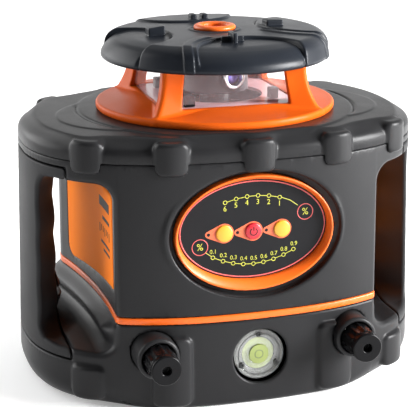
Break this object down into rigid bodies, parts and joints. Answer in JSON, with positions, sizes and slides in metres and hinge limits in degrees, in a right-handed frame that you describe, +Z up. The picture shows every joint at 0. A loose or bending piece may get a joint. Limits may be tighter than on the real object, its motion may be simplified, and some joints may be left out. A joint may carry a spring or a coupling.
{
  "type": "rotary laser level",
  "caption": "Self-levelling rotary laser level with a windowed rotating head, rubber-clad housing, side carrying grips, keypad, front vial and grade knobs.",
  "frame": {"origin": "on the surface the instrument stands on, under the middle of its outline seen from above; the rotor's axis stands 10 mm behind it", "axes": "+Z up along the rotor's axis, -Y towards the control panel and knobs, +X towards the right-hand grip seen from the front"},
  "size_m": [0.236, 0.1901, 0.2044],
  "materials": {
    "charcoal_rubber": "satin moulded rubber skin, fine grain",
    "charcoal_plastic": "satin moulded plastic",
    "orange_plastic": "smooth semi-gloss orange plastic",
    "black_plastic": "satin black plastic",
    "panel_film": "matte printed film with scales",
    "yellow_key": "soft satin key",
    "red_key": "soft satin key",
    "window_glass": "polished, faint pink reflection",
    "coated_glass": "blue-violet coated lens",
    "cast_aluminium": "machined satin",
    "steel": "ground bright",
    "brass": "machined",
    "circuit_board": "solder mask",
    "vial_fluid": "clear yellow-green fluid",
    "clear_acrylic": "polished clear plastic",
    "battery_wrap": "printed shrink wrap, plain"
  },
  "bodies": {
    "housing": {"lower_housing": "charcoal_rubber", "tripod_bush": "brass", "trim_band": "orange_plastic", "main_housing": "charcoal_rubber", "top_cover": "charcoal_rubber", "handle_left": "charcoal_rubber", "handle_right": "charcoal_rubber", "side_label_left": "orange_plastic", "side_label_right": "orange_plastic", "panel_bezel": "orange_plastic", "panel_face": "panel_film", "control_board": "circuit_board", "vial_carrier": "cast_aluminium", "vial_cover": "clear_acrylic", "vial_capsule": "vial_fluid", "vial_screw_1": "steel", "vial_screw_2": "steel", "vial_screw_3": "steel", "knob_collar_left": "charcoal_plastic", "knob_collar_right": "charcoal_plastic", "lantern_cage": "orange_plastic", "window_front": "window_glass", "window_left": "window_glass", "window_rear": "window_glass", "window_right": "window_glass", "lantern_deck": "cast_aluminium", "remote_sensor": "black_plastic", "deck_post_left": "cast_aluminium", "deck_post_right": "cast_aluminium", "head_cap": "charcoal_rubber", "cap_ring": "orange_plastic", "zenith_window": "window_glass", "gimbal_post_left": "cast_aluminium", "gimbal_post_right": "cast_aluminium", "chassis_plate": "charcoal_plastic", "battery_pack": "battery_wrap"},
    "key_left": {"button_left": "yellow_key"},
    "key_power": {"button_power": "red_key"},
    "key_right": {"button_right": "yellow_key"},
    "knob_left": {"grade_knob_left": "black_plastic", "grade_shaft_left": "steel"},
    "knob_right": {"grade_knob_right": "black_plastic", "grade_shaft_right": "steel"},
    "gimbal": {"gimbal_ring": "cast_aluminium"},
    "carriage": {"tilt_carriage": "cast_aluminium", "laser_module": "brass", "spindle_bearing_lower": "steel", "spindle_bearing_upper": "steel", "rotor_motor": "steel", "drive_belt": "black_plastic"},
    "rotor": {"rotor_drum": "black_plastic", "lens_ring": "steel", "rotor_lens": "coated_glass", "pentaprism": "window_glass", "rotor_spindle": "steel", "drive_pulley": "black_plastic"},
    "motor_shaft": {"motor_pulley": "brass"},
    "door": {"battery_door": "charcoal_rubber"},
    "door_lock": {"battery_lock": "black_plastic"}
  },
  "joints": [
    {"name": "tilt_x", "type": "hinge", "parent": "housing", "child": "gimbal", "pos_m": [0, 0.01, 0.108], "axis": [1, 0, 0], "range_deg": [-5.7, 5.7]},
    {"name": "tilt_y", "type": "hinge", "parent": "gimbal", "child": "carriage", "pos_m": [0, 0.01, 0.108], "axis": [0, 1, 0], "range_deg": [-5.7, 5.7]},
    {"name": "rotor_spin", "type": "hinge", "parent": "carriage", "child": "rotor", "pos_m": [0, 0.01, 0.175], "axis": [0, 0, 1], "continuous": true},
    {"name": "motor_spin", "type": "hinge", "parent": "carriage", "child": "motor_shaft", "pos_m": [0, 0.046, 0.15], "axis": [0, 0, 1], "continuous": true},
    {"name": "knob_left_turn", "type": "hinge", "parent": "housing", "child": "knob_left", "pos_m": [-0.0577, -0.095, 0.0348], "axis": [0, -1, 0], "range_deg": [-720, 720]},
    {"name": "knob_right_turn", "type": "hinge", "parent": "housing", "child": "knob_right", "pos_m": [0.0577, -0.095, 0.0348], "axis": [0, -1, 0], "range_deg": [-720, 720]},
    {"name": "door_hinge", "type": "hinge", "parent": "housing", "child": "door", "pos_m": [0, 0.0926, 0.0617], "axis": [-1, 0, 0], "range_deg": [0, 95]},
    {"name": "lock_turn", "type": "hinge", "parent": "door", "child": "door_lock", "pos_m": [0, 0.092, 0.108], "axis": [0, 1, 0], "range_deg": [0, 90]},
    {"name": "press_left", "type": "slide", "parent": "housing", "child": "key_left", "axis": [0, 1, 0], "range_m": [0, 0.0008], "stiffness_N_per_m": 800},
    {"name": "press_power", "type": "slide", "parent": "housing", "child": "key_power", "axis": [0, 1, 0], "range_m": [0, 0.0008], "stiffness_N_per_m": 800},
    {"name": "press_right", "type": "slide", "parent": "housing", "child": "key_right", "axis": [0, 1, 0], "range_m": [0, 0.0008], "stiffness_N_per_m": 800}
  ],
  "couplings": [
    {"joint": "knob_left_turn", "follows": "tilt_x", "ratio": 126.31},
    {"joint": "knob_right_turn", "follows": "tilt_y", "ratio": 126.31},
    {"joint": "motor_spin", "follows": "rotor_spin", "ratio": 3}
  ]
}
